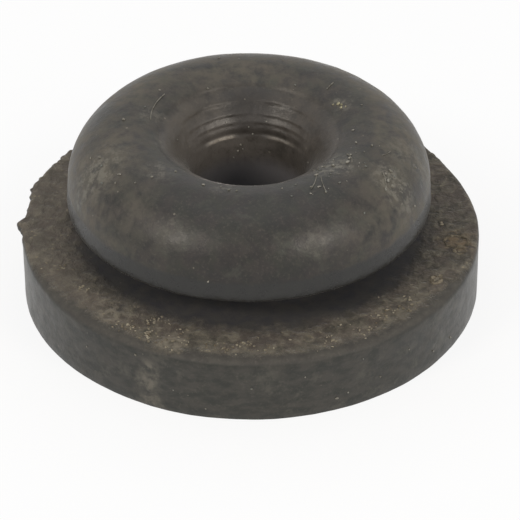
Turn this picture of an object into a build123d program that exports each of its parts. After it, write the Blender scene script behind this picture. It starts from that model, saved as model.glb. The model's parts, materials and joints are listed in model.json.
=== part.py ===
"""A rubber plug, moulded in one piece.

A thick flat flange stops the plug against one face of a sheet. Above it a narrower
neck leaves a groove for the sheet's edge, and a wide round bead, pushed through the
hole, snaps open behind the sheet and holds the plug. A bore runs up the middle. Its
mouth is the inner side of the bead, and carries the fine steps that the turned core
pin of the mould left in the rubber. Torn bits of flash stand on the flange's rim.

The origin is the centre of the flange's underside, and +Z points up through the bead.
All lengths are in millimetres and all angles in degrees.
"""

import os
from math import cos, degrees, radians, sin

from build123d import *

# The flange, which seats against the near face of the sheet.
flange_diameter = 25.0
flange_thickness = 3.75
flange_top_round = 0.38
flange_foot_chamfer = 0.1

# The neck, and the groove round it that takes the sheet's edge.
neck_diameter = 14.0
groove_width = 2.0

# The bead: an upright land under a top that is rounded over in one sweep. The land's
# lower corner is broken, and it leans in by its draft, which leaves a crease at its top.
bead_diameter = 19.85
land_height = 1.05
land_draft = 0.07
land_foot_chamfer = 0.15

# The bore.
bore_diameter = 6.4
bore_foot_chamfer = 0.3

# The steps in the mouth. Each angle is that of a lip, measured at the centre of the
# round, from level with the bore's top end (0) to the crest of the bead (90). Above each
# lip but the outermost lies a notch, this deep and this long from its bottom to the lip.
mouth_lip_angles = (11, 25, 32, 44, 64)
mouth_notch_depth = 0.1
mouth_notch_length = 0.1

# Torn flash on the flange's rim: its place round the rim, its width and its reach.
torn_flash = ((180.0, 1.5, 0.32), (164.0, 1.9, 0.28))
flash_thickness = 0.4
flash_below_top = 0.05

# Radii and heights that follow from the sizes above.
flange_radius = flange_diameter / 2
neck_radius = neck_diameter / 2
bead_radius = bead_diameter / 2
bore_radius = bore_diameter / 2
bead_bottom = flange_thickness + groove_width
land_top = bead_bottom + land_height

# The round springs from the land's top edge and comes down into the bore.
round_radius = (bead_radius - land_draft - bore_radius) / 2
round_centre = bore_radius + round_radius


def on_round(angle, depth=0.0):
    """A point of the half section, this deep under the round's surface at this angle."""
    reach = round_radius - depth
    return (
        round_centre - reach * cos(radians(angle)),
        land_top + reach * sin(radians(angle)),
    )


def ring_edges(part, radius, height):
    """The round edges of the part that have this radius and lie at this height."""
    near = 0.001
    return part.edges().filter_by(GeomType.CIRCLE).filter_by(
        lambda edge: abs(edge.radius - radius) < near and abs(edge.center().Z - height) < near
    )


# The mouth's outline, from its outermost lip down to the bore: a notch and a lip in turn.
notch_turn = degrees(mouth_notch_length / round_radius)
*inner_lips, outermost_lip = mouth_lip_angles
mouth_outline = [on_round(outermost_lip)]
for lip in reversed(inner_lips):
    mouth_outline += [on_round(lip + notch_turn, mouth_notch_depth), on_round(lip)]
mouth_outline.append(on_round(0))

os.makedirs("parts", exist_ok=True)

with BuildPart() as rubber_plug:
    # Half of the section, turned about the plug's axis.
    with BuildSketch(Plane.XZ) as half_section:
        with BuildLine() as outline:
            Polyline(*mouth_outline)
            Polyline(
                on_round(0),
                (bore_radius, 0),
                (flange_radius, 0),
                (flange_radius, flange_thickness),
                (neck_radius, flange_thickness),
                (neck_radius, bead_bottom),
                (bead_radius, bead_bottom),
                on_round(180),
            )
            ThreePointArc(on_round(180), on_round(90), on_round(outermost_lip))
        make_face()
    revolve(axis=Axis.Z)

    # The moulded corners.
    fillet(ring_edges(rubber_plug, flange_radius, flange_thickness), flange_top_round)
    chamfer(ring_edges(rubber_plug, flange_radius, 0), flange_foot_chamfer)
    chamfer(ring_edges(rubber_plug, bead_radius, bead_bottom), land_foot_chamfer)
    chamfer(ring_edges(rubber_plug, bore_radius, 0), bore_foot_chamfer)

    # The torn flash: each bit is a peaked tab, rooted behind the rim's rounded edge.
    flash_floor = flange_thickness - flash_below_top - flash_thickness
    flash_root = flange_radius - flange_top_round - flash_below_top
    flash_shoulder = flange_radius - flash_below_top
    for around, width, reach in torn_flash:
        with BuildSketch(Plane.XY.offset(flash_floor).rotated((0, 0, around))):
            with BuildLine():
                Polyline(
                    (flash_root, -width / 2),
                    (flash_shoulder, -width / 2),
                    (flange_radius + reach, 0),
                    (flash_shoulder, width / 2),
                    (flash_root, width / 2),
                    close=True,
                )
            make_face()
        extrude(amount=flash_thickness)

rubber_plug.part.label = "rubber_plug"
export_step(rubber_plug.part, "parts/rubber_plug.step")
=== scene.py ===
# %% [markdown]
# # An old rubber plug, modelled and dressed in Blender
#
# The object is a plug moulded in one piece of black rubber. A thick flange stops it
# against a sheet, a narrow groove takes the sheet's edge, and a fat round bead holds
# it from behind. It has lain in a workshop for years: the flange is brown with dust,
# the mouth shows the steps of the mould's core pin, and bits of flash are torn off
# the rim.
#
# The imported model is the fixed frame, so it is loaded first. Every size below is
# either read from it or is one of the plug's own driving sizes.

# %% Load the frame
import json
import random
from math import atan2, ceil, cos, degrees, dist, hypot, pi, radians, sin

import bmesh
import bpy
from mathutils import Matrix, Vector

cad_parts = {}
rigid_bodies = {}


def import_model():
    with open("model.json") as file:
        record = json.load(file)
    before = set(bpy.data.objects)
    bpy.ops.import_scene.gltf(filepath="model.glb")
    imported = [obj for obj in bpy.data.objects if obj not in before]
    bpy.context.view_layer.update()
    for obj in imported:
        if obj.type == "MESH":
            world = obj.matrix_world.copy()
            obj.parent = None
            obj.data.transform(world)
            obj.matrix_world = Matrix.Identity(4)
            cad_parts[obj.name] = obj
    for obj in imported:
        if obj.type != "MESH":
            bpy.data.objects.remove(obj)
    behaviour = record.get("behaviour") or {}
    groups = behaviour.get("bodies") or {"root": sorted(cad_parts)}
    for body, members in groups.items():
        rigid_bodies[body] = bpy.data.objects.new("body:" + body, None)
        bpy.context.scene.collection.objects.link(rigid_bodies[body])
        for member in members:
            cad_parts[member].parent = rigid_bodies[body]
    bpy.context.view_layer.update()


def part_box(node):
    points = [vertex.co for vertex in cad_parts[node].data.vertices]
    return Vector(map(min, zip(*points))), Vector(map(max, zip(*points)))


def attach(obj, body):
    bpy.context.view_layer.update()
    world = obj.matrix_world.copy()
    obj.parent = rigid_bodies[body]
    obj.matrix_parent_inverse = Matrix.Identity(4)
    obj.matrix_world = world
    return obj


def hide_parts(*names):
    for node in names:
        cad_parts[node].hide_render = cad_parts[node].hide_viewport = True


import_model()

# %% [markdown]
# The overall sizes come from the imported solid: its width across y is the flange, and
# its height is the crest of the bead. The flash stands out along x, so x isn't used.
# The other sizes are the ones that the mould was cut to. Points nearer to each other
# than a hair count as one.

# %% The plug's sizes
mm = 0.001
hair = 0.0005 * mm
low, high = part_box("rubber_plug")
flange_radius = (high.y - low.y) / 2
crest = high.z

flange_thickness = 3.75 * mm
groove_width = 2.0 * mm
neck_radius = 7.0 * mm
bead_radius = 9.925 * mm
bore_radius = 3.2 * mm
land_height = 1.05 * mm

bead_bottom = flange_thickness + groove_width
land_top = bead_bottom + land_height
round_radius = crest - land_top
round_centre = bore_radius + round_radius
print("flange radius", round(flange_radius / mm, 2), "round radius", round(round_radius / mm, 3))


# %% [markdown]
# ## The body
#
# A moulded ring like this has the same section all the way round, so it is drawn as
# half of its section and turned, as on a lathe. Turning is better than stacking
# cylinders, because each soft corner and each step of the mouth is one continuous
# skin, with no seam between parts.
#
# The bead's section is mostly a circle, so a circle is the primitive. The part of it
# that the mouth cuts away is deleted, and the rest of the line is extruded from its
# two ends. The circle has a point at every second degree, and the mouth's edge is one
# of them.

# %% Helpers for choosing and for drawing a line
def choose(test):
    """Selects the points of the piece in edit mode whose place passes the test."""
    mesh = bmesh.from_edit_mesh(bpy.context.object.data)
    bpy.ops.mesh.select_all(action="DESELECT")
    chosen = [point for point in mesh.verts if test(point.co)]
    for point in chosen:
        point.select_set(True)
    mesh.select_flush(True)
    bmesh.update_edit_mesh(bpy.context.object.data)
    return len(chosen)


def near(place, radius, height, reach=0.001 * mm):
    """True if the place lies within reach of this point of the section."""
    return hypot(place.x - radius, place.z - height) < reach


def draw(stops):
    """Extrudes the line from its first stop through the others."""
    choose(lambda place: near(place, *stops[0]))
    for here, there in zip(stops, stops[1:]):
        step = (there[0] - here[0], 0, there[1] - here[1])
        bpy.ops.mesh.extrude_region_move(TRANSFORM_OT_translate={"value": step})


def soften(corners, size, segments):
    """Rounds these corners of the section line."""
    choose(lambda place: any(near(place, *corner) for corner in corners))
    bpy.ops.mesh.bevel(offset=size, segments=segments, affect="VERTICES")


def on_round(angle, depth=0.0):
    """A point this deep under the round: 0 is the bore's top end, 90 the crest."""
    reach = round_radius - depth
    turn = radians(angle)
    return round_centre - reach * cos(turn), land_top + reach * sin(turn)


# %% The bead's round
round_points = 180
bpy.ops.object.select_all(action="DESELECT")
bpy.ops.mesh.primitive_circle_add(
    vertices=round_points,
    radius=round_radius,
    fill_type="NOTHING",
    location=(round_centre, 0, land_top),
    rotation=(pi / 2, 0, 0),
)
plug = bpy.context.object
plug.name = plug.data.name = "moulded_plug"
bpy.ops.object.transform_apply()
bpy.ops.object.mode_set(mode="EDIT")

mouth_edge = 62
edge_radius, edge_height = on_round(mouth_edge)
slack = 0.01 * mm
removed = choose(
    lambda place: place.z < land_top - slack
    or (place.x < edge_radius - slack and place.z < edge_height - slack)
)
bpy.ops.mesh.delete(type="VERT")
print("points of the circle removed:", removed)

# %% [markdown]
# The mouth is stepped like a funnel of terraces, because the pin that formed it was
# turned in steps. Each lip lies on the bead's round. Under it a short riser goes back
# into the rubber to its foot, and from there a terrace comes slowly out again to the
# next lip. Each step is given as the angles of its lip and its foot on the round, and
# the foot's depth. Every corner is rounded by a share of the shorter face beside it: a
# sharp one would draw a black line round the mouth, which worn rubber doesn't show.

# %% The mouth and the bore
lips_and_feet = (
    (mouth_edge, 58.5, 0.10), (45.5, 41.5, 0.09), (32.5, 29.8, 0.045),
    (24.5, 22.0, 0.040), (17.5, 13.0, 0.09), (9.5, 3, 0.0),
)
mouth_line = []
for lip_angle, foot_angle, foot_depth in lips_and_feet:
    mouth_line += [on_round(lip_angle), on_round(foot_angle, foot_depth * mm)]
bore_foot = (bore_radius, 0)
mouth_line += [(bore_radius, land_top - 0.3 * mm), bore_foot]
draw(mouth_line)
softened_share = 0.42
most_softened = 0.12 * mm
for before, corner, after in zip(mouth_line, mouth_line[1:], mouth_line[2:-2]):
    shorter = min(dist(before, corner), dist(corner, after))
    soften([corner], min(softened_share * shorter, most_softened), 4)
print("steps in the mouth:", len(lips_and_feet))

# %% [markdown]
# From the other end of the round the line goes down the land, in under the bead,
# down the neck and out over the flange, and comes back underneath to the bore. Moulded
# rubber has no sharp corner anywhere, so each corner is rounded by its own amount.

# %% The land, the neck and the flange
land_foot = (bead_radius, bead_bottom)
neck_top = (neck_radius, bead_bottom)
neck_foot = (neck_radius, flange_thickness)
flange_top = (flange_radius, flange_thickness)
flange_foot = (flange_radius, 0)
draw([on_round(180), land_foot, neck_top, neck_foot, flange_top, flange_foot, bore_foot])
choose(lambda place: near(place, *bore_foot))
bpy.ops.mesh.merge(type="CENTER")

soften([flange_top], 0.38 * mm, 6)
soften([flange_foot], 0.07 * mm, 2)
soften([land_foot], 0.12 * mm, 3)
soften([bore_foot], 0.3 * mm, 3)
soften([neck_top, neck_foot], 0.25 * mm, 3)

# %% [markdown]
# The long straight runs are divided, so that the skin can be uneven between its
# corners. Then a Screw modifier turns the line into the body. Its first and last
# positions are merged, and the normals are made to face outwards.

# %% Divide the straight runs
def choose_longest_edge():
    """Selects the longest edge of the line and returns its length."""
    mesh = bmesh.from_edit_mesh(bpy.context.object.data)
    bpy.ops.mesh.select_all(action="DESELECT")
    edge = max(mesh.edges, key=lambda edge: edge.calc_length())
    edge.select_set(True)
    bmesh.update_edit_mesh(bpy.context.object.data)
    return edge.calc_length()


pace = 0.45 * mm
length = choose_longest_edge()
while length > pace:
    bpy.ops.mesh.subdivide(number_cuts=ceil(length / pace) - 1)
    length = choose_longest_edge()
bpy.ops.object.mode_set(mode="OBJECT")
print("points in the section:", len(plug.data.vertices))

# %% Turn the section
def use_modifier(piece, kind, **settings):
    """Adds a modifier with these settings to a piece and applies it."""
    modifier = piece.modifiers.new(kind.lower(), kind)
    for name, value in settings.items():
        setattr(modifier, name, value)
    bpy.context.view_layer.objects.active = piece
    bpy.ops.object.modifier_apply(modifier=modifier.name)


turns = 440
use_modifier(
    plug, "SCREW", angle=2 * pi, steps=turns, render_steps=turns,
    axis="Z", use_merge_vertices=True, merge_threshold=hair,
)
bpy.ops.object.mode_set(mode="EDIT")
bpy.ops.mesh.select_all(action="SELECT")
bpy.ops.mesh.remove_doubles(threshold=hair)
bpy.ops.mesh.normals_make_consistent(inside=False)
bpy.ops.object.mode_set(mode="OBJECT")
print("faces in the body:", len(plug.data.polygons))

# %% [markdown]
# ## The torn flash
#
# Flash is the thin skin of rubber that squeezes out where the mould halves meet. Here
# it was torn off by hand at the flange's top edge, and left a pointed nib, a wider
# ragged bit and a nick. The rim is divided finely there, and each bit is pulled out
# with proportional editing, as clay would be, so it thins down into the rim below it.

# %% Divide the torn stretch of the rim
def pick_only(piece):
    """Selects this piece alone and makes it the active one."""
    bpy.ops.object.select_all(action="DESELECT")
    piece.select_set(True)
    bpy.context.view_layer.objects.active = piece


def around(place):
    """The angle of a place round the plug's axis, in degrees."""
    return degrees(atan2(place.y, place.x))


def from_axis(place):
    """The distance of a place from the plug's axis."""
    return hypot(place.x, place.y)


def on_torn_rim(place):
    """True on the stretch of the flange's upper rim where the flash was."""
    angle = around(place)
    on_rim = abs(place.z - flange_thickness) < 0.8 * mm and from_axis(place) > 11.75 * mm
    return on_rim and (27 < angle < 48 or angle > 137 or angle < -172)


pick_only(plug)
bpy.ops.object.mode_set(mode="EDIT")
choose(on_torn_rim)
bpy.ops.mesh.subdivide(number_cuts=1)
print("points on the torn rim:", choose(on_torn_rim))

# %% Pull the flash out of the rim
def pull(angle, target, spread, falloff):
    """Moves the rim's edge at this angle to a distance from the axis, and what is near with it."""
    turn = radians(angle)
    outward = Vector((cos(turn), sin(turn), 0))
    heights = flange_thickness - 0.22 * mm, flange_thickness + 0.02 * mm

    def on_edge(place):
        across = abs(place.x * outward.y - place.y * outward.x)
        return (
            across < 0.1 * mm
            and place.dot(outward) > flange_radius - 0.36 * mm
            and heights[0] < place.z < heights[1]
        )

    found = choose(on_edge)
    mesh = bmesh.from_edit_mesh(bpy.context.object.data)
    reach = max(point.co.dot(outward) for point in mesh.verts if point.select)
    bpy.ops.transform.translate(
        value=outward * (target - reach),
        use_proportional_edit=True,
        proportional_size=spread,
        proportional_edit_falloff=falloff,
    )
    return found, round((target - reach) / mm, 3)


torn_edge = (
    (31.0, 12.50, 0.8, "SMOOTH"), (34.5, 12.55, 0.7, "SMOOTH"), (38.5, 12.63, 0.6, "SMOOTH"),
    (42.0, 12.56, 0.7, "SMOOTH"), (139.5, 12.56, 0.7, "SMOOTH"), (142.5, 12.71, 0.6, "SMOOTH"),
    (145.0, 12.72, 0.5, "SMOOTH"), (147.3, 12.78, 0.5, "SHARP"), (150.0, 12.67, 0.5, "SMOOTH"),
    (152.6, 12.74, 0.5, "SMOOTH"), (155.5, 12.73, 0.5, "SMOOTH"), (158.0, 12.78, 0.5, "SHARP"),
    (161.0, 12.80, 0.6, "SMOOTH"), (163.5, 12.87, 0.5, "SHARP"), (165.8, 12.66, 0.4, "SMOOTH"),
    (168.6, 12.47, 0.6, "SMOOTH"), (171.5, 12.46, 0.6, "SMOOTH"), (174.3, 12.46, 0.6, "SMOOTH"),
    (178.8, 12.86, 0.55, "LINEAR"), (181.8, 12.62, 0.3, "SHARP"), (185.0, 12.50, 0.6, "SMOOTH"),
)
for angle, target, spread, falloff in torn_edge:
    print("pulled at", angle, pull(angle, target * mm, spread * mm, falloff))
bpy.ops.object.mode_set(mode="OBJECT")

# %% [markdown]
# ## An old moulding isn't true
#
# Rubber shrinks unevenly and is worn, so no face is quite flat. Displace modifiers
# with cloud textures move the skin by hundredths of a millimetre: a slow wave and a
# finer roughness over all but the mouth, an unevenness of the mouth's steps, and a
# raggedness of the torn rim alone. At the two sides of the mouth, and a little behind,
# the steps are rubbed down, so there a Shrinkwrap modifier draws the skin onto a plain
# torus of the bead's size. Each modifier works through a vertex group that says where
# it acts. The bead also stands a tenth of a millimetre off the flange's middle.

# %% Vertex groups for the wear
def weigh(piece, name, weight_at):
    """Makes a vertex group whose weight at each point comes from its place."""
    group = piece.vertex_groups.new(name=name)
    for point in piece.data.vertices:
        weight = weight_at(point.co)
        if weight > 0:
            group.add([point.index], min(weight, 1), "REPLACE")


def ramp(value, start, end):
    """Rises smoothly from 0 at start to 1 at end."""
    share = min(max((value - start) / (end - start), 0), 1)
    return share * share * (3 - 2 * share)


def torn_weight(place):
    """The torn rim, and very faintly the rest of the flange's upper edge."""
    angle = around(place) % 360
    edge_of_rim = ramp(from_axis(place), 12.2 * mm, 12.45 * mm)
    top_of_rim = ramp(place.z, flange_thickness - 0.75 * mm, flange_thickness - 0.3 * mm)
    on_flange = 1 if place.z < flange_thickness + 0.2 * mm else 0
    left = ramp(angle, 137, 143) * (1 - ramp(angle, 184, 190))
    right = ramp(angle, 26, 32) * (1 - ramp(angle, 44, 50))
    return on_flange * edge_of_rim * top_of_rim * (0.06 + 0.94 * max(left, right))


def open_weight(place):
    """All but the mouth and the bore."""
    return ramp(from_axis(place), 4.2 * mm, 5.6 * mm)


def mouth_weight(place):
    """The stepped part of the mouth."""
    above_bore = ramp(place.z, land_top, land_top + 0.5 * mm)
    return above_bore * (1 - ramp(from_axis(place), 4.7 * mm, 5.1 * mm))


def rubbed_weight(place):
    """The mouth where its steps are rubbed down: the two sides, and a little at the back."""
    from_back = abs((around(place) + 90) % 360 - 180)
    sides = ramp(from_back, 40, 70) * (1 - 0.5 * ramp(from_back, 115, 150))
    back = 0.55 * (1 - ramp(from_back, 5, 20))
    return mouth_weight(place) * max(sides, back)


weigh(plug, "open faces", open_weight)
weigh(plug, "torn rim", torn_weight)
weigh(plug, "mouth", mouth_weight)
weigh(plug, "rubbed mouth", rubbed_weight)

# %% Move the skin
def cloud(name, size):
    """A cloud texture with features of about this size."""
    texture = bpy.data.textures.new(name, "CLOUDS")
    texture.noise_basis = "IMPROVED_PERLIN"
    texture.noise_scale = size
    texture.noise_depth = 2
    return texture


def roughen(piece, texture, amount, group=""):
    """Moves the skin in and out along its normals by up to this amount."""
    use_modifier(
        piece, "DISPLACE", texture=texture, texture_coords="LOCAL",
        strength=amount, mid_level=0.5, vertex_group=group,
    )


bpy.ops.object.select_all(action="DESELECT")
bpy.ops.mesh.primitive_torus_add(
    major_radius=round_centre, minor_radius=round_radius,
    major_segments=turns, minor_segments=round_points, location=(0, 0, land_top),
)
plain_round = bpy.context.object
use_modifier(plug, "SHRINKWRAP", target=plain_round, vertex_group="rubbed mouth")
bpy.data.objects.remove(plain_round)

bead_shift = (-0.1 * mm, 0, 0)
pick_only(plug)
bpy.ops.object.mode_set(mode="EDIT")
choose(lambda place: place.z > flange_thickness + 0.6 * mm)
bpy.ops.transform.translate(value=bead_shift)
bpy.ops.object.mode_set(mode="OBJECT")

roughen(plug, cloud("uneven steps", 1.1 * mm), 0.11 * mm, "mouth")
roughen(plug, cloud("slow wave", 5 * mm), 0.10 * mm, "open faces")
roughen(plug, cloud("worn skin", 0.9 * mm), 0.035 * mm, "open faces")
roughen(plug, cloud("torn edge", 0.3 * mm), 0.15 * mm, "torn rim")
plug.vertex_groups.clear()

pick_only(plug)
bpy.ops.object.shade_smooth_by_angle(angle=radians(48))
triangles = sum(len(face.vertices) - 2 for face in plug.data.polygons)
print("triangles in the body:", triangles)


# %% [markdown]
# ## Grit, lint and fibres
#
# Loose dirt on rubber isn't paint. Grains of grit stand on the flange, flecks of lint
# sit round the mouth, and a few fibres lie across the bead. One grain is modelled as a
# small uneven lump. It is then copied, each copy turned and sized by seeded chance, and
# set on the true skin of the plug, sunk in but for a share of its width.

# %% One grain
bpy.ops.object.select_all(action="DESELECT")
bpy.ops.mesh.primitive_ico_sphere_add(subdivisions=1, radius=0.5, location=(0, 0, 0))
grain_model = bpy.context.object
grain_model.name = "grain_model"
bpy.ops.object.mode_set(mode="EDIT")
bpy.ops.mesh.select_all(action="SELECT")
bpy.ops.transform.vertex_random(offset=0.14, uniform=0.3, normal=0.5, seed=3)
bpy.ops.transform.resize(value=(1.0, 0.8, 0.65))
bpy.ops.object.mode_set(mode="OBJECT")
chance = random.Random(11)


def skin(azimuth, out, height):
    """The nearest place on the plug's skin, and the way out of it. Degrees and millimetres."""
    turn = radians(azimuth)
    wanted = Vector((cos(turn) * out, sin(turn) * out, height)) * mm
    _, place, way_out, _ = plug.closest_point_on_mesh(wanted)
    return place, way_out


def bead_height(out):
    """How high the bead's round is at this distance from the axis, in millimetres."""
    across = out - round_centre / mm
    return land_top / mm + max((round_radius / mm) ** 2 - across ** 2, 0) ** 0.5


grain_lift = 0.12


def set_grain(azimuth, out, height, size):
    """Puts a copy of the grain on the skin, this wide in millimetres."""
    place, way_out = skin(azimuth, out, height)
    grain = grain_model.copy()
    grain.data = grain_model.data.copy()
    bpy.context.collection.objects.link(grain)
    size *= mm
    stretch = (chance.uniform(0.8, 1.5), chance.uniform(0.7, 1.1), chance.uniform(0.7, 1.0), 1)
    grain.data.transform(
        Matrix.Translation(place + way_out * size * grain_lift)
        @ way_out.to_track_quat("Z", "Y").to_matrix().to_4x4()
        @ Matrix.Rotation(chance.uniform(0, 2 * pi), 4, "Z")
        @ Matrix.Diagonal(stretch)
        @ Matrix.Scale(size, 4)
    )
    return grain


def join_pieces(pieces, name):
    """Joins pieces into one, with smooth faces and its place in its mesh."""
    bpy.ops.object.select_all(action="DESELECT")
    for piece in pieces:
        piece.select_set(True)
    bpy.context.view_layer.objects.active = pieces[0]
    bpy.ops.object.join()
    joined = bpy.context.object
    joined.name = joined.data.name = name
    bpy.ops.object.shade_smooth()
    return joined


# %% [markdown]
# Grit gathers in clumps, most of them along the front of the flange and at its left,
# where the dirt is thickest. So clumps are scattered first, and grains round each. A
# power of a seeded number makes many small grains and few large ones. The largest
# grains and flecks are set one by one, each by its angle round the plug, its distance
# from the axis and its width.

# %% Grit on the flange
left_clumps, front_clumps, other_clumps = 16, 26, 10
smallest_grain = 0.075
largest_to_smallest = 2.8
grains = []
for clump in range(left_clumps + front_clumps + other_clumps):
    if clump < left_clumps:
        azimuth, out = chance.gauss(-120, 7), chance.uniform(9.9, 11.8)
    elif clump < left_clumps + front_clumps:
        azimuth, out = chance.uniform(-112, -38), chance.triangular(10.0, 11.9, 11.3)
    else:
        azimuth, out = chance.uniform(-170, 170), chance.uniform(10.4, 11.9)
    for _ in range(chance.randint(2, 7)):
        turned = azimuth + chance.gauss(0, 1.3)
        moved = min(max(out + chance.gauss(0, 0.2), 9.7), 12.0)
        size = smallest_grain * largest_to_smallest ** (chance.random() ** 1.2)
        grains.append(set_grain(turned, moved, flange_thickness / mm, size))
for azimuth, out, size in (
    (-119, 11.2, 0.15), (-115, 11.8, 0.16), (-110, 12.1, 0.16), (-79, 10.7, 0.16),
    (-84, 11.3, 0.16), (-88, 10.3, 0.12), (-54, 11.2, 0.16), (-45, 9.6, 0.14),
    (-44, 11.5, 0.14), (-162, 11.6, 0.15), (-158, 11.2, 0.13), (-160, 12.0, 0.13),
):
    grains.append(set_grain(azimuth, out, flange_thickness / mm, size))
grit_on_flange = join_pieces(grains, "grit_on_flange")
print("grains on the flange:", len(grains))

# %% Lint on the bead and the side
on_bead, on_side = 1.4, 1.3
flecks = []
for azimuth, out, size in (
    (173, 6.9, 0.15), (160, 6.1, 0.11), (104, 7.3, 0.12), (118, 5.0, 0.13), (143, 6.2, 0.09),
    (-168, 8.7, 0.10), (-165, 8.3, 0.13), (-160, 8.4, 0.12), (-150, 8.0, 0.13), (-153, 8.8, 0.12),
    (-148, 8.4, 0.10), (-141, 7.8, 0.11), (-138, 7.0, 0.12), (-135, 5.6, 0.12),
    (-115, 5.9, 0.16), (-106, 5.7, 0.10), (-101, 6.0, 0.15), (-97, 6.0, 0.10),
    (-39, 5.6, 0.18), (-46, 4.8, 0.12), (-41, 5.2, 0.10), (-26, 5.9, 0.13), (-33, 6.1, 0.16),
    (-29, 6.0, 0.12), (-31, 7.1, 0.12), (-57, 7.2, 0.12), (-61, 6.5, 0.11), (-52, 5.6, 0.14),
    (-25, 8.2, 0.16), (-30, 8.4, 0.18), (-30, 8.7, 0.17), (-34, 8.6, 0.14), (-26, 8.5, 0.12),
    (-28, 8.1, 0.10), (-15, 6.7, 0.13), (-14, 5.8, 0.13), (-1, 5.5, 0.10), (-13, 9.1, 0.12),
    (-25, 9.7, 0.11), (-48, 8.9, 0.11), (20, 6.4, 0.09), (62, 5.2, 0.10), (75, 7.0, 0.09),
):
    flecks.append(set_grain(azimuth, out, bead_height(out), on_bead * size))
for azimuth, height, size in (
    (-119, 3.1, 0.10), (-90, 2.1, 0.13), (-109, 1.5, 0.09), (-69, 0.8, 0.13), (-66, 1.0, 0.10),
    (-31, 0.8, 0.13), (-39, 1.0, 0.14), (-57, 1.3, 0.10), (-134, 2.2, 0.10), (-103, 6.9, 0.10),
    (-77, 2.6, 0.08), (-101, 0.6, 0.08), (-62, 2.9, 0.08), (-48, 2.2, 0.08), (60, 1.8, 0.10),
    (130, 2.6, 0.09), (175, 1.2, 0.10), (20, 2.9, 0.09), (95, 0.9, 0.10),
):
    out = flange_radius / mm if height < 4 else bead_radius / mm
    flecks.append(set_grain(azimuth, out, height, on_side * size))
for azimuth, out, height, size in (
    (100, 3.2, 6.9, 0.16), (103, 3.2, 6.5, 0.13), (98, 3.2, 6.6, 0.14), (107, 3.2, 6.1, 0.10),
    (92, 3.4, 7.9, 0.13), (88, 3.3, 7.5, 0.12), (76, 3.6, 8.2, 0.10), (112, 3.5, 8.3, 0.10),
    (-178, 3.3, 7.5, 0.12), (-170, 3.6, 8.2, 0.12), (170, 4.0, 8.9, 0.12), (10, 3.4, 7.4, 0.12),
):
    flecks.append(set_grain(azimuth, out, height, size))
smallest_fleck = 0.045
for _ in range(50):
    azimuth, out = chance.gauss(-47, 13), chance.uniform(4.6, 7.2)
    size = smallest_fleck * 3.2 ** chance.random()
    flecks.append(set_grain(azimuth, out, bead_height(out), size))
lint_on_rubber = join_pieces(flecks, "lint_on_rubber")
print("flecks of lint:", len(flecks))

# %% [markdown]
# A fibre is a path that follows the skin, given a round section and made a mesh. Its
# bow moves its middle outwards in millimetres, and round the plug by six degrees for
# each of those. The yellow crumb at the right of the mouth is a cluster of larger
# grains.

# %% Fibres and the yellow crumb
turn_per_bow = 6


def lay_fibre(start, end, bow, thickness):
    """A fibre over the bead between two places, given as azimuth and distance out."""
    bpy.ops.curve.primitive_nurbs_path_add()
    fibre = bpy.context.object
    line = fibre.data.splines[0]
    last = len(line.points) - 1
    for step, point in enumerate(line.points):
        share = step / last
        bulge = bow * 4 * share * (1 - share)
        azimuth = start[0] + (end[0] - start[0]) * share + bulge * turn_per_bow
        out = start[1] + (end[1] - start[1]) * share + bulge
        place, way_out = skin(azimuth, out, bead_height(out))
        lift = chance.uniform(0.01, 0.05) * mm
        point.co = (*(place + way_out * lift), 1)
    line.use_endpoint_u = True
    fibre.data.bevel_depth = thickness / 2 * mm
    fibre.data.bevel_resolution = 1
    fibre.data.resolution_u = 5
    fibre.data.use_fill_caps = True
    pick_only(fibre)
    bpy.ops.object.convert(target="MESH")
    return bpy.context.object


fibres = [
    lay_fibre((169, 5.5), (144, 5.8), 0.12, 0.05),
    lay_fibre((-62, 6.7), (-50, 5.4), 0.05, 0.045),
    lay_fibre((-57, 7.2), (-52, 6.0), -0.08, 0.04),
    lay_fibre((-32, 6.3), (-26, 5.7), 0.10, 0.06),
    lay_fibre((-45, 5.0), (-40, 4.7), 0.05, 0.04),
    lay_fibre((44, 6.3), (43, 5.7), 0.03, 0.05),
    lay_fibre((-34, 8.6), (-29, 8.0), 0.05, 0.05),
    lay_fibre((-20, 7.4), (-15, 7.7), 0.08, 0.03),
]
stray_fibres = join_pieces(fibres, "stray_fibres")
crumbs = [
    set_grain(azimuth, out, bead_height(out), size)
    for azimuth, out, size in (
        (28, 5.4, 0.24), (26, 5.5, 0.17), (24, 5.4, 0.20), (23, 5.6, 0.15), (30, 5.2, 0.13),
    )
]
yellow_crumb = join_pieces(crumbs, "yellow_crumb")
print("fibres:", len(fibres), "crumbs:", len(crumbs))

# %% [markdown]
# At the right of the flange three dried drops of something brown left raised rings, as
# a coffee drop does. A torus is the right start for a ring: it is pressed flat, made
# uneven, and laid on the skin.

# %% Rings of dried dirt
def dried_ring(azimuth, out, width, length, thickness, seed):
    """A raised ring on the flange's top. Degrees and millimetres."""
    bpy.ops.object.select_all(action="DESELECT")
    bpy.ops.mesh.primitive_torus_add(
        major_segments=44, minor_segments=8,
        major_radius=width / 2 * mm, minor_radius=thickness / 2 * mm,
    )
    ring = bpy.context.object
    bpy.ops.object.mode_set(mode="EDIT")
    bpy.ops.mesh.select_all(action="SELECT")
    bpy.ops.transform.resize(value=(1, length / width, 0.5))
    bpy.ops.transform.vertex_random(offset=thickness * 0.3 * mm, uniform=0.4, seed=seed)
    bpy.ops.object.mode_set(mode="OBJECT")
    place, _ = skin(azimuth, out, flange_thickness / mm)
    turned = Matrix.Rotation(radians(azimuth), 4, "Z")
    ring.data.transform(Matrix.Translation(place) @ turned)
    roughen(ring, cloud("crust " + str(seed), 0.45 * mm), 0.3 * mm)
    return ring


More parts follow.
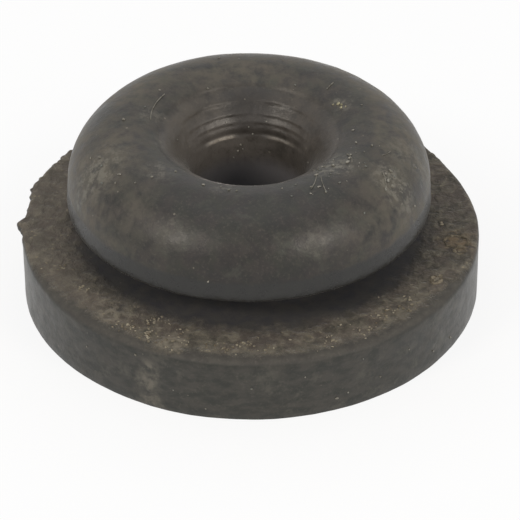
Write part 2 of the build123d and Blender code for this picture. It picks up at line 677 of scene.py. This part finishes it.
rings = [
    dried_ring(-8.5, 11.3, 1.3, 1.1, 0.2, 1),
    dried_ring(-12.5, 11.6, 0.6, 0.6, 0.16, 2),
    dried_ring(-27.5, 11.2, 0.5, 0.7, 0.16, 3),
]
dried_rings = join_pieces(rings, "dried_rings")
bpy.data.objects.remove(grain_model)
print("dried rings:", len(rings))


# %% [markdown]
# ## Materials
#
# All finishes are built from nodes that read Object coordinates, scaled to
# millimetres, so a scale of 2 means two features to the millimetre. Painted textures
# would need a flat pattern of the skin; noise in space wraps every form without one.
# Colours are written as on a screen, 0 to 255, as they are picked from a chart.

# %% A small drawing board for nodes
def from_screen(red, green, blue):
    """A colour written as on a screen, 0 to 255, as the linear colour that nodes use."""
    linear = []
    for part in (red, green, blue):
        part /= 255
        linear.append(part / 12.92 if part <= 0.04045 else ((part + 0.055) / 1.055) ** 2.4)
    return (*linear, 1)


class Board:
    """The nodes of a material or a world, with short ways to add and join them."""

    def __init__(self, owner):
        owner.use_nodes = True
        self.owner = owner
        self.tree = owner.node_tree
        self.tree.nodes.clear()

    def read_places(self):
        """Makes self.place the place on the piece, in millimetres."""
        places = self.add("ShaderNodeTexCoord")
        scaled = self.add("ShaderNodeMapping", {"Vector": places.outputs["Object"]})
        scaled.inputs["Scale"].default_value = (1000, 1000, 1000)
        self.place = scaled.outputs["Vector"]

    def add(self, kind, inputs=None, **settings):
        """Adds a node, and sets or joins its inputs by name or number."""
        node = self.tree.nodes.new(kind)
        for name, value in settings.items():
            setattr(node, name, value)
        for name, value in (inputs or {}).items():
            self.join(value, node.inputs[name])
        return node

    def join(self, value, socket):
        """Links a socket, or sets the input's own value."""
        if isinstance(value, bpy.types.NodeSocket):
            self.tree.links.new(value, socket)
        else:
            socket.default_value = value

    def math(self, operation, first, second):
        """One step of arithmetic."""
        return self.add("ShaderNodeMath", {0: first, 1: second}, operation=operation).outputs[0]

    def size_of(self, value):
        """The value without its sign."""
        return self.add("ShaderNodeMath", {0: value}, operation="ABSOLUTE").outputs[0]

    def shift(self, value, by, amount):
        """Adds this many times another value."""
        return self.math("ADD", value, self.math("MULTIPLY", by, amount))

    def product(self, *values):
        """Multiplies any number of values."""
        result = values[0]
        for value in values[1:]:
            result = self.math("MULTIPLY", result, value)
        return result

    def ramp(self, value, start, end, low=0.0, high=1.0):
        """Goes smoothly from low to high as the value goes from start to end."""
        node = self.add(
            "ShaderNodeMapRange",
            {"Value": value, "From Min": start, "From Max": end, "To Min": low, "To Max": high},
            interpolation_type="SMOOTHSTEP",
        )
        return node.outputs["Result"]

    def noise(self, scale, detail, roughness, place=None, **more):
        """Soft noise with this many features to the millimetre."""
        inputs = {
            "Vector": place or self.place, "Scale": scale,
            "Detail": detail, "Roughness": roughness,
        }
        return self.add("ShaderNodeTexNoise", {**inputs, **more}).outputs["Fac"]

    def mix(self, share, first, second):
        """Mixes two colours."""
        node = self.add("ShaderNodeMix", data_type="RGBA")
        self.join(share, node.inputs[0])
        self.join(first, node.inputs[6])
        self.join(second, node.inputs[7])
        return node.outputs[2]

    def blend(self, share, first, second):
        """Mixes two numbers."""
        node = self.add("ShaderNodeMix", data_type="FLOAT")
        self.join(share, node.inputs[0])
        self.join(first, node.inputs[2])
        self.join(second, node.inputs[3])
        return node.outputs[0]

    def bump(self, height, distance, strength, under=None):
        """Turns a height of 0 to 1 into a bump this deep, on top of another."""
        node = self.add(
            "ShaderNodeBump",
            {"Height": height, "Distance": distance, "Strength": strength},
        )
        if under is not None:
            self.join(under, node.inputs["Normal"])
        return node.outputs["Normal"]

    def finish(self, shader, kind="ShaderNodeOutputMaterial"):
        """Joins a shader to the output and returns the material or world."""
        self.add(kind, {"Surface": shader.outputs[0]})
        return self.owner


# %% [markdown]
# The old rubber is one material, because the plug is one moulding. It is painted as
# an old surface gets dirty: first the clean rubber, then dust, then wear. Where each
# layer lies is worked out from the height, the distance from the axis and whether the
# skin faces up. A slow wobble is added to those, so that no border is a perfect circle.

# %% Where on the plug a point lies
board = Board(bpy.data.materials.new("old black rubber"))
board.read_places()
split = board.add("ShaderNodeSeparateXYZ", {"Vector": board.place})
x, y, z = split.outputs[0], split.outputs[1], split.outputs[2]
flat_place = board.add("ShaderNodeCombineXYZ", {"X": x, "Y": y}).outputs[0]
out = board.add("ShaderNodeVectorMath", {0: flat_place}, operation="LENGTH").outputs["Value"]
normal = board.add("ShaderNodeNewGeometry").outputs["Normal"]
up = board.add("ShaderNodeSeparateXYZ", {"Vector": normal}).outputs[2]

wobble = board.math("SUBTRACT", board.noise(1.1, 4, 0.6), 0.5)
out_soft = board.shift(out, wobble, 1.6)
z_soft = board.shift(z, wobble, 0.35)
mouth_rim = board.shift(out, wobble, 1.1)

below_bead = board.ramp(z, 4.6, 4.2)
on_flange_top = board.product(below_bead, board.ramp(up, 0.25, 0.8))
on_side = board.product(below_bead, board.ramp(up, 0.8, 0.25))
on_dome = board.product(board.ramp(z_soft, 6.75, 7.05), board.ramp(out, 4.2, 4.9))
in_mouth = board.product(board.ramp(mouth_rim, 5.15, 4.5), board.ramp(z, 4.4, 4.8))
in_bore = board.product(board.ramp(out, 3.6, 3.3), board.ramp(z_soft, 6.4, 5.2))

# %% The textures that several layers share
broad = board.noise(0.3, 3, 0.5)
tint = board.noise(0.9, 2, 0.5)
cloudy = board.noise(1.4, 5, 0.62)
flecked = board.noise(2.6, 5, 0.7)
fine = board.noise(6.0, 4, 0.65)
cloudy_share = board.ramp(cloudy, 0.3, 0.7)

# %% [markdown]
# The rubber itself is a dark grey-brown that wanders a little from place to place.
# The land under the dome stayed clean and grey, because the mould was polished there.
# The dome is dusty, most of all at its sides and behind, and carries blotches where
# damp hands or water took the dust away or left more of it.

# %% Clean and dusty rubber
hue = board.ramp(tint, 0.35, 0.65)
dark = board.mix(hue, from_screen(35, 35, 32), from_screen(39, 36, 35))
pale = board.mix(hue, from_screen(48, 48, 42), from_screen(52, 48, 45))
rubber = board.mix(board.ramp(cloudy, 0.3, 0.72), dark, pale)
land = board.mix(cloudy_share, from_screen(36, 36, 35), from_screen(42, 42, 40))
colour = board.mix(on_dome, land, rubber)

dust = from_screen(112, 106, 95)
from_middle = board.size_of(x)
sideways = board.ramp(from_middle, 3.5, 8.5)
behind = board.ramp(y, 1.0, 7.0)
dusty = board.math("ADD", board.product(sideways, 0.68), board.product(behind, 0.55))
dusty = board.product(on_dome, dusty, board.ramp(broad, 0.2, 0.55), board.ramp(cloudy, 0.25, 0.65))
colour = board.mix(dusty, colour, dust)

blotch = board.noise(0.8, 6, 0.72, Distortion=0.6)
for start, end, share, stain in (
    (0.52, 0.68, 0.5, from_screen(66, 68, 60)),
    (0.46, 0.34, 0.4, from_screen(40, 37, 37)),
):
    stained = board.product(on_dome, board.ramp(blotch, start, end), share)
    colour = board.mix(stained, colour, stain)
mottle = board.product(on_dome, board.ramp(fine, 0.5, 0.75), 0.4)
colour = board.mix(mottle, colour, from_screen(88, 84, 76))

# %% [markdown]
# Here and there the dust has dried to a pale powder. Each patch is given one by one: its
# angle round the plug, its distance from the axis, the radii inside which it is whole
# and outside which it is gone, and its strength.

# %% Patches of pale powder
def patch(azimuth, radius, inner, outer):
    """A soft round patch seen from above: 1 within inner of its middle, 0 past outer."""
    middle = (cos(radians(azimuth)) * radius, sin(radians(azimuth)) * radius, 0)
    away = board.add("ShaderNodeVectorMath", {0: flat_place, 1: middle}, operation="DISTANCE")
    return board.ramp(board.shift(away.outputs["Value"], wobble, 1.4), outer, inner)


powder_and_highlight_colour = from_screen(120, 117, 107)
for azimuth, radius, inner, outer, share in (
    (-38, 5.5, 0.4, 1.8, 0.85), (-29, 8.6, 0.3, 1.6, 0.95), (-160, 8.6, 0.4, 2.2, 0.8),
    (27, 5.6, 0.2, 0.8, 0.7), (-103, 5.9, 0.0, 0.9, 0.5), (-10, 8.6, 0.3, 1.8, 0.5),
    (165, 5.6, 0.1, 1.2, 0.4), (-140, 6.4, 0.1, 1.4, 0.5), (-172, 4.6, 0.1, 1.0, 0.5),
    # The last two patches, on the bead's front where the lamps' highlights fall, are partly powder and
    # partly a painted highlight.
    (-117, 9.0, 0.2, 1.0, 0.25), (-69, 9.1, 0.2, 0.9, 0.25),
):
    powder_and_highlight = board.product(patch(azimuth, radius, inner, outer), board.ramp(z, 6.9, 7.4), share)
    powder_and_highlight = board.product(powder_and_highlight, board.ramp(flecked, 0.44, 0.6, 0.12, 1.0))
    colour = board.mix(powder_and_highlight, colour, powder_and_highlight_colour)

# %% [markdown]
# The side of the flange is a greenish grey with faint streaks round it, which come
# from one Mapping node that squeezes the noise in height. A pale scuff runs down it
# left of the front, so that one is placed by its direction from the axis.

# %% The side of the flange
streaks = board.add("ShaderNodeMapping", {"Vector": board.place})
streaks.inputs["Scale"].default_value = (0.8, 0.8, 1.7)
streaky = board.noise(1.3, 3, 0.55, streaks.outputs["Vector"])
side = board.mix(board.ramp(streaky, 0.34, 0.66), from_screen(40, 41, 36), from_screen(60, 58, 53))
side = board.mix(board.product(board.ramp(fine, 0.5, 0.8), 0.5), side, from_screen(80, 77, 69))
smudge = board.product(board.ramp(board.noise(0.75, 4, 0.65), 0.52, 0.7), 0.5)
side = board.mix(smudge, side, from_screen(84, 82, 74))
colour = board.mix(on_side, colour, side)

across_scuff = (0.906, -0.423, 0.05)
along = board.add("ShaderNodeVectorMath", {0: board.place, 1: across_scuff}, operation="DOT_PRODUCT")
off_scuff = board.size_of(board.shift(along.outputs["Value"], wobble, 1.8))
scuff = board.product(on_side, board.ramp(off_scuff, 0.95, 0.0), board.ramp(y, 0.0, -4.0))
scuff = board.product(scuff, board.ramp(cloudy, 0.4, 0.6), board.ramp(z, 3.3, 2.6), 0.75)
colour = board.mix(scuff, colour, from_screen(112, 108, 98))

# %% [markdown]
# The mouth is browner than the dome, because dust lies on its terraces. Its throat
# behind is paler, with a painted shade down the middle as a darker streak, where no lamp
# puts a highlight. On the last lip above the bore two short pale stretches are a painted
# highlight of the lamps. The bore's far wall is painted a pale bluish grey that stands in
# for light reaching into the bore, and the shade in there still turns it nearly black.

# %% The mouth and the bore
mouth = board.mix(cloudy_share, from_screen(52, 49, 45), from_screen(72, 67, 61))
mouth = board.mix(board.product(board.ramp(flecked, 0.42, 0.3), 0.5), mouth, from_screen(42, 39, 36))
mouth = board.mix(board.product(board.ramp(fine, 0.52, 0.75), 0.5), mouth, from_screen(98, 94, 85))
mouth = board.mix(board.ramp(x, -2.2, -3.8, 0.0, 0.5), mouth, from_screen(96, 90, 82))
mouth = board.mix(board.ramp(x, 1.8, 3.2, 0.0, 0.18), mouth, from_screen(100, 93, 86))
colour = board.mix(in_mouth, colour, mouth)

throat = board.product(in_mouth, board.ramp(z_soft, 9.0, 8.0), board.ramp(cloudy, 0.2, 0.6, 0.6, 0.95))
throat = board.product(throat, board.ramp(x, 0.5, 1.6, 1.0, 0.45), board.ramp(flecked, 0.32, 0.5, 0.6, 1.0))
throat = board.product(throat, board.ramp(y, -0.5, 1.8, 0.25, 1.0))
colour = board.mix(throat, colour, from_screen(104, 100, 96))

# Painted shade: the middle of the throat, behind, is darkened where the lamps put no highlight.
painted_shade_streak = board.product(in_mouth, board.ramp(from_middle, 2.2, 0.5), board.ramp(y, 0.0, 2.5))
painted_shade_streak = board.product(painted_shade_streak, board.ramp(z, 6.9, 7.6, 0.1, 0.7))
colour = board.mix(painted_shade_streak, colour, from_screen(43, 40, 38))

# Painted highlight: two short pale stretches on the last lip, left and right of the middle, brighter at the
# left.
lip = board.product(board.ramp(z, 7.28, 7.36), board.ramp(z, 7.56, 7.42), board.ramp(y, 1.5, 2.2))
lip = board.product(lip, in_mouth, board.ramp(from_middle, 0.7, 1.2), board.ramp(from_middle, 2.6, 2.0))
lip = board.product(lip, board.ramp(x, -0.5, 0.5, 0.7, 0.35), board.ramp(fine, 0.35, 0.6, 0.5, 1.0))
colour = board.mix(lip, colour, from_screen(158, 150, 138))

# Painted light: the bore's far wall is made a pale bluish grey in place of light that reaches into the
# bore.
bore = board.product(in_bore, board.ramp(y, -0.5, 1.8, 0.35, 0.9))
colour = board.mix(bore, colour, from_screen(108, 107, 110))

# %% [markdown]
# Dust and workshop dirt have caked on the flange's flat top, outside the line that
# the bead shelters. The cake is thick along the front, with two pale heaps at the
# left, and turns rusty round the dried drops at the right. At the front it ends a
# little inside the edge, in a ragged line, because hands have rubbed the edge clean.
# At the sides and behind it runs out to the edge.

# %% Caked dirt on the flange
crud = board.noise(2.0, 5, 0.6, Distortion=0.4)
patchy = board.noise(0.8, 4, 0.6)
dirt = board.mix(board.ramp(crud, 0.38, 0.6), from_screen(70, 66, 59), from_screen(104, 99, 88))
dirt = board.mix(board.ramp(tint, 0.4, 0.6), dirt, board.mix(0.3, dirt, from_screen(100, 89, 84)))
dirt = board.mix(board.ramp(crud, 0.56, 0.68, 0.0, 0.75), dirt, from_screen(130, 124, 110))
front_rim = board.product(board.ramp(out_soft, 10.9, 11.7), board.ramp(y, -5.0, -9.0))
front_rim = board.product(front_rim, board.ramp(patchy, 0.35, 0.55), 0.45)
dirt = board.mix(front_rim, dirt, from_screen(124, 119, 107))
for azimuth, radius in ((-110, 11.5), (-131, 11.1)):
    heap = board.product(patch(azimuth, radius, 0.3, 1.2), board.ramp(crud, 0.38, 0.55), 0.5)
    dirt = board.mix(heap, dirt, from_screen(142, 135, 121))
dirt = board.mix(board.ramp(x, -6.0, -10.0, 0.0, 0.3), dirt, from_screen(118, 111, 101))
rusty = board.product(patch(-8.5, 11.3, 0.5, 1.3), board.ramp(crud, 0.35, 0.6), 0.75)
dirt = board.mix(rusty, dirt, from_screen(124, 106, 82))

# %% The bare rubber round the cake, and where the cake lies
# Under the bead the bare rubber is clean, and its bluish grey is a painted shade tint for the bead's shadow
# on the flange.
sheltered_with_shade_tint = board.mix(cloudy_share, from_screen(60, 60, 65), from_screen(72, 71, 70))
rubbed_edge = board.mix(cloudy_share, from_screen(65, 63, 60), from_screen(80, 78, 73))
edge_specks = board.product(board.ramp(fine, 0.5, 0.75), 0.5)
rubbed_edge = board.mix(edge_specks, rubbed_edge, from_screen(100, 97, 90))
bare = board.mix(board.ramp(out_soft, 11.2, 10.2), rubbed_edge, sheltered_with_shade_tint)
colour = board.mix(on_flange_top, colour, bare)

edge_line = board.shift(board.shift(out, wobble, 1.3), board.math("SUBTRACT", flecked, 0.5), 1.0)
edge_line = board.math("SUBTRACT", edge_line, board.ramp(y, -7.5, -1.0, -0.4, 0.7))
edge_line = board.math("SUBTRACT", edge_line, board.product(patch(-113, 12.2, 0.3, 1.6), 0.4))
caked = board.product(on_flange_top, board.ramp(out_soft, 8.9, 10.3), board.ramp(edge_line, 12.5, 11.9))
caked = board.product(caked, board.ramp(patchy, 0.2, 0.5, 0.6, 1.0))
colour = board.mix(caked, colour, dirt)


# %% Pale specks
def specks(scale, share, size, shift=0.0):
    """Scattered dots: cells per millimetre, the share that hold a dot, and its size."""
    moved = board.add("ShaderNodeMapping", {"Vector": board.place})
    moved.inputs["Location"].default_value = (shift, shift, shift)
    cells = board.add("ShaderNodeTexVoronoi", {"Vector": moved.outputs["Vector"], "Scale": scale})
    pick = board.add("ShaderNodeSeparateColor", {"Color": cells.outputs["Color"]})
    chosen = board.math("LESS_THAN", pick.outputs[0], share)
    radius = board.math("MULTIPLY", pick.outputs[1], size)
    dot = board.math("LESS_THAN", cells.outputs["Distance"], radius)
    return board.product(chosen, dot)


grit = board.product(specks(5.0, 0.22, 0.45), caked, board.ramp(crud, 0.45, 0.6), 0.7)
colour = board.mix(grit, colour, from_screen(150, 141, 120))
lint = board.product(specks(3.0, 0.06, 0.2, 7.0), board.ramp(z, 4.5, 7.2, 0.4, 0.6))
colour = board.mix(lint, colour, from_screen(128, 123, 112))

# %% [markdown]
# Gloss tells rubber from plastic. The clean land is the smoothest, the dome has a
# soft sheen that dust takes away, and caked dirt has none. Three bumps stack under
# the dirt's own: a fine grain, slow waves, and the uneven terraces of the mouth.

# %% Rubber shader
rough = board.ramp(cloudy, 0.2, 0.8, 0.36, 0.49)
rough = board.blend(board.product(on_dome, dusty), rough, 0.75)
off_dome = board.math("SUBTRACT", 1.0, on_dome)
rough = board.blend(board.product(off_dome, board.ramp(z, 5.6, 5.8), 0.9), rough, 0.26)
rough = board.blend(in_mouth, rough, board.ramp(cloudy, 0.3, 0.7, 0.31, 0.42))
rough = board.blend(on_flange_top, rough, 0.8)

skin_grain = board.bump(board.noise(8.0, 5, 0.7), 0.00002, 0.4)
waves = board.bump(board.noise(2.6, 4, 0.6), 0.00006, 0.4, skin_grain)
terraces = board.bump(board.product(board.noise(3.6, 5, 0.7), in_mouth), 0.00004, 0.5, waves)
cake = board.bump(board.product(crud, caked), 0.00026, 0.9, terraces)
shader = board.add(
    "ShaderNodeBsdfPrincipled",
    {
        "Base Color": colour, "Roughness": rough, "Normal": cake, "Specular IOR Level": 0.45,
        "Sheen Weight": 0.25, "Sheen Roughness": 0.25,
    },
)
old_rubber = board.finish(shader)
plug.data.materials.clear()
plug.data.materials.append(old_rubber)
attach(plug, "root")
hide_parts("rubber_plug")
print("nodes in the rubber:", len(board.tree.nodes))

# %% [markdown]
# Grit, lint, fibres and dried dirt are all matt. Each grain takes a colour of its own
# from a pattern of cells that is coarser than a grain and finer than a clump.

# %% Matt finishes of the loose dirt
def loose_dirt(name, first, second, third):
    """A matt finish whose colour changes from grain to grain."""
    dirt_board = Board(bpy.data.materials.new(name))
    dirt_board.read_places()
    cells = dirt_board.add("ShaderNodeTexVoronoi", {"Vector": dirt_board.place, "Scale": 4.0})
    pick = dirt_board.add("ShaderNodeSeparateColor", {"Color": cells.outputs["Color"]})
    second_share = dirt_board.ramp(pick.outputs[0], 0.2, 0.7)
    third_share = dirt_board.ramp(pick.outputs[1], 0.6, 0.9)
    tone = dirt_board.mix(second_share, from_screen(*first), from_screen(*second))
    tone = dirt_board.mix(third_share, tone, from_screen(*third))
    grainy = dirt_board.noise(14.0, 3, 0.6)
    tone = dirt_board.mix(dirt_board.ramp(grainy, 0.4, 0.7, 0.0, 0.25), tone, from_screen(*first))
    matt = dirt_board.add(
        "ShaderNodeBsdfPrincipled",
        {
            "Base Color": tone, "Specular IOR Level": 0.3,
            "Roughness": dirt_board.ramp(grainy, 0.3, 0.7, 0.75, 0.95),
            "Normal": dirt_board.bump(grainy, 0.00002, 0.6),
        },
    )
    return dirt_board.finish(matt)


for piece, finish in (
    (grit_on_flange, loose_dirt("pale grit", (130, 123, 107), (172, 165, 148), (112, 103, 88))),
    (lint_on_rubber, loose_dirt("pale lint", (124, 122, 114), (160, 158, 150), (112, 116, 112))),
    (stray_fibres, loose_dirt("pale fibre", (124, 122, 114), (146, 144, 136), (112, 110, 102))),
    (yellow_crumb, loose_dirt("yellow crumb", (142, 137, 112), (168, 163, 138), (154, 150, 132))),
    (dried_rings, loose_dirt("dried brown dirt", (102, 95, 82), (124, 115, 98), (146, 138, 122))),
):
    piece.data.materials.clear()
    piece.data.materials.append(finish)
    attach(piece, "root")
    print(piece.name, "faces:", len(piece.data.polygons))

# %% [markdown]
# ## The stage
#
# A pale floor under plain soft light, as on a product table. The camera sees the floor
# as white and the sky as a pale grey, but the plug is lit only at a plain level: a
# Light Path node tells the rays that look from the rays that light. Close to the
# plug the floor keeps more of its real shade, and the spot under the bore is only as
# bright as the light that falls through it.

# %% Floor and surroundings
def seen(nodes):
    """1 for rays from the camera, in gloss and through glass, 0 for those that light."""
    rays = nodes.add("ShaderNodeLightPath").outputs
    either = nodes.math("MAXIMUM", rays["Is Camera Ray"], rays["Is Glossy Ray"])
    return nodes.math("MAXIMUM", either, rays["Is Transmission Ray"])


bpy.ops.mesh.primitive_plane_add(size=1.6, location=(0, 0, 0))
floor = bpy.context.object
floor.name = "floor"
stage = Board(bpy.data.materials.new("pale floor"))
stage.read_places()
tone = stage.mix(stage.noise(0.02, 2, 0.5), (0.86, 0.86, 0.86, 1), (0.9, 0.9, 0.9, 1))
matt = stage.add("ShaderNodeBsdfDiffuse", {"Color": tone})
glow = stage.add("ShaderNodeEmission", {"Color": (1, 1, 1, 1), "Strength": 1.0})
from_plug = stage.add("ShaderNodeVectorMath", {0: stage.place}, operation="LENGTH").outputs["Value"]
in_the_open = stage.ramp(from_plug, 4.0, 12.0)
share = stage.product(seen(stage), in_the_open, stage.ramp(from_plug, 12.0, 22.0, 0.88, 0.95))
lit = stage.add("ShaderNodeMixShader", {0: share, 1: matt.outputs[0], 2: glow.outputs[0]})
floor.data.materials.append(stage.finish(lit))

tent = Board(bpy.data.worlds.new("white tent"))
level = tent.add("ShaderNodeMapRange", {"Value": seen(tent), "To Min": 0.46, "To Max": 1.0})
sky = tent.add("ShaderNodeBackground", {"Strength": level.outputs[0]})
bpy.context.scene.world = tent.finish(sky, "ShaderNodeOutputWorld")

# %% [markdown]
# Two warm lamps in front, left and right, draw the soft highlights on the bead, and a
# wide faint one overhead fills the mouth. Each is a square, because the softness of a
# highlight comes from the lamp's size.

# %% Three soft lamps
def lamp(name, azimuth, elevation, distance, size, power, tint=(1, 1, 1)):
    """A square soft lamp that points at the plug. Azimuth 0 is the front."""
    turn, rise = radians(azimuth), radians(elevation)
    away = Vector((sin(turn) * cos(rise), -cos(turn) * cos(rise), sin(rise)))
    centre = Vector((0, 0, crest / 2))
    bpy.ops.object.light_add(type="AREA", location=centre + away * distance)
    light = bpy.context.object
    light.name = name
    light.rotation_euler = away.to_track_quat("Z", "Y").to_euler()
    light.data.size = size
    light.data.energy = power
    light.data.color = tint
    print(name, "watts:", power)


warm = (1, 0.91, 0.8)
lamp("left lamp", -50, 36, 0.35, 0.085, 0.38, warm)
lamp("right lamp", 48, 28, 0.35, 0.085, 0.38, warm)
lamp("overhead lamp", 180, 80, 0.45, 0.42, 0.3)

# %% [markdown]
# A long lens from seven times the plug's width away keeps the flange a true ellipse, as
# in a catalogue picture. The camera looks down by 36 degrees at a point near the middle.

# %% Camera
rise = radians(36.08)
distance = 187.5 * mm
place = Vector((0, -cos(rise), sin(rise))) * distance
target = Vector((1, 0, 0)) * 0.50 * mm + Vector((0, sin(rise), cos(rise))) * 1.09 * mm
bpy.ops.object.camera_add(location=place)
camera = bpy.context.object
camera.rotation_euler = (place - target).to_track_quat("Z", "Y").to_euler()
camera.data.lens = 234.0
camera.data.clip_start = 0.01
bpy.context.scene.camera = camera
bpy.context.scene.view_settings.view_transform = "Standard"
print("camera height:", round(place.z / mm, 1), "mm")
